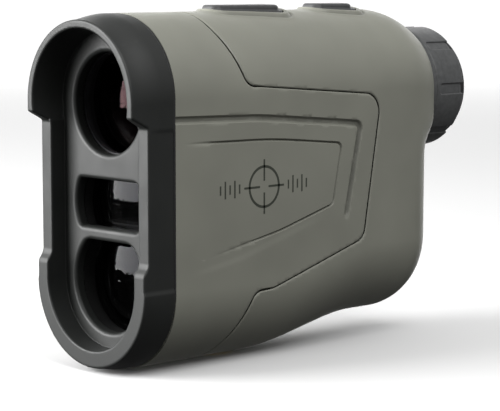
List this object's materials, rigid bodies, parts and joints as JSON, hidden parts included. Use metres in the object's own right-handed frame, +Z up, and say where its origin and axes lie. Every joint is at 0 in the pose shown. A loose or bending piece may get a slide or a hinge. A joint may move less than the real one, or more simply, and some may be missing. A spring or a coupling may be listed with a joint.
{
  "type": "laser rangefinder",
  "caption": "Handheld laser rangefinder monocular: stadium-shaped body, hooded front bezel with lens windows, press buttons on top, focusing eyepiece and covered charging port.",
  "frame": {"origin": "bottom centre of the instrument's bounding box", "axes": "+Z up, -Y the way the windows look, +Y towards the eyepiece, +X the user's left when the eye is at the eyepiece"},
  "size_m": [0.0366, 0.11, 0.0785],
  "materials": {
    "housing_plastic": "fine satin texture",
    "bezel_plastic": "soft-touch satin",
    "button_rubber": "matte",
    "black_rubber": "matte",
    "black_plastic": "matt black, anti-reflection",
    "coated_glass": "polished, coated",
    "prism_glass": "polished",
    "steel": "plated",
    "brass": "turned",
    "aluminium": "black anodised",
    "circuit_board": "solder mask",
    "chip_plastic": "moulded",
    "flex_film": "polyimide film",
    "battery_wrap": "shrink wrap"
  },
  "bodies": {
    "housing": {"front_housing": "housing_plastic", "rear_housing": "housing_plastic", "front_bezel": "bezel_plastic", "bezel_seal": "black_rubber", "housing_screws": "steel", "chassis_screws": "steel", "optics_chassis": "black_plastic", "objective_cell": "aluminium", "objective_lens": "coated_glass", "objective_retainer": "aluminium", "emitter_lens": "coated_glass", "emitter_tube": "black_plastic", "laser_diode": "brass", "laser_board": "circuit_board", "receiver_lens": "coated_glass", "receiver_tube": "black_plastic", "receiver_sensor": "brass", "receiver_board": "circuit_board", "prism_holder": "black_plastic", "relay_prism": "prism_glass", "roof_prism": "prism_glass", "display_frame": "black_plastic", "display_glass": "prism_glass", "eyepiece_sleeve": "aluminium", "eyepiece_o_ring": "black_rubber", "power_switch": "chip_plastic", "mode_switch": "chip_plastic", "button_membrane": "black_rubber", "button_board": "circuit_board", "flex_cable": "flex_film", "main_board": "circuit_board", "board_chips": "chip_plastic", "battery_cell": "battery_wrap", "battery_tray": "black_plastic", "charge_board": "circuit_board", "charge_socket": "steel", "port_pin": "steel", "tripod_insert": "brass", "lanyard_bar": "steel"},
    "power_button": {"power_button": "button_rubber", "power_plunger": "steel"},
    "mode_button": {"mode_button": "button_rubber", "mode_plunger": "steel"},
    "diopter_ring": {"diopter_ring": "button_rubber", "eyecup": "black_rubber"},
    "eyepiece_cell": {"eyepiece_cell": "aluminium", "field_lens": "coated_glass", "eyepiece_spacer": "aluminium", "eye_lens": "coated_glass", "eyepiece_retainer": "aluminium"},
    "port_cover": {"port_cover": "black_rubber"}
  },
  "joints": [
    {"name": "power_press", "type": "slide", "parent": "housing", "child": "power_button", "axis": [0, 0, -1], "range_m": [0, 0.0006], "stiffness_N_per_m": 2500},
    {"name": "mode_press", "type": "slide", "parent": "housing", "child": "mode_button", "axis": [0, 0, -1], "range_m": [0, 0.0006], "stiffness_N_per_m": 2500},
    {"name": "diopter_turn", "type": "hinge", "parent": "housing", "child": "diopter_ring", "pos_m": [0, 0.0474, 0.0578], "axis": [0, 1, 0], "range_deg": [-60, 60]},
    {"name": "eyepiece_focus", "type": "slide", "parent": "housing", "child": "eyepiece_cell", "axis": [0, 1, 0], "range_m": [-0.0015, 0.0015]},
    {"name": "port_open", "type": "hinge", "parent": "housing", "child": "port_cover", "pos_m": [-0.006, 0.0405, 0.03], "axis": [0, 0, 1], "range_deg": [0, 95]}
  ],
  "couplings": [
    {"joint": "diopter_turn", "follows": "eyepiece_focus", "rad_per_m": 698}
  ]
}
